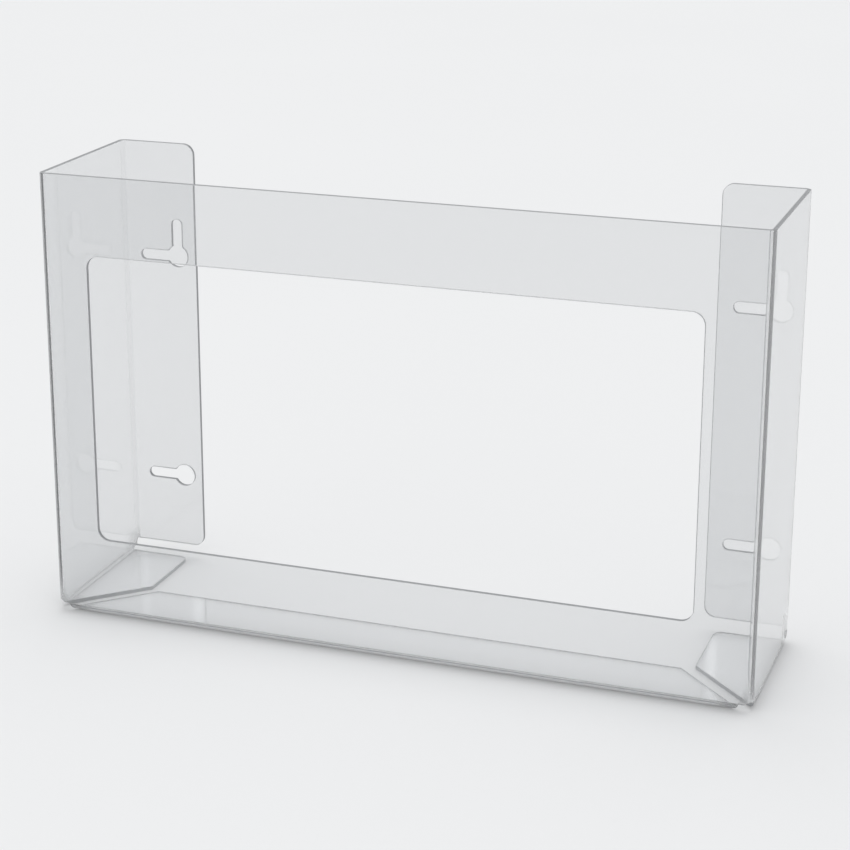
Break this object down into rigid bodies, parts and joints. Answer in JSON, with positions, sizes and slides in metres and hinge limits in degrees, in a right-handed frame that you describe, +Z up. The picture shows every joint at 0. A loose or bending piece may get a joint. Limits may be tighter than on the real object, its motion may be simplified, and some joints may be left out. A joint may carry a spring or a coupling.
{
  "type": "glove box dispenser",
  "caption": "Clear wall dispenser for boxes of disposable gloves, folded from one sheet, with an open top, a front window, a mitred bottom flap and tabs, and rear flanges with keyholes.",
  "frame": {"origin": "centre of the footprint, on the surface that the dispenser stands on", "axes": "+X along the front to the right, +Y from the front panel to the wall behind, +Z up"},
  "size_m": [0.4, 0.1, 0.254],
  "materials": {
    "clear_plastic": "clear, polished sheet with cut edges that look grey"
  },
  "bodies": {
    "root": {"folded_sheet": "clear_plastic"}
  },
  "joints": []
}
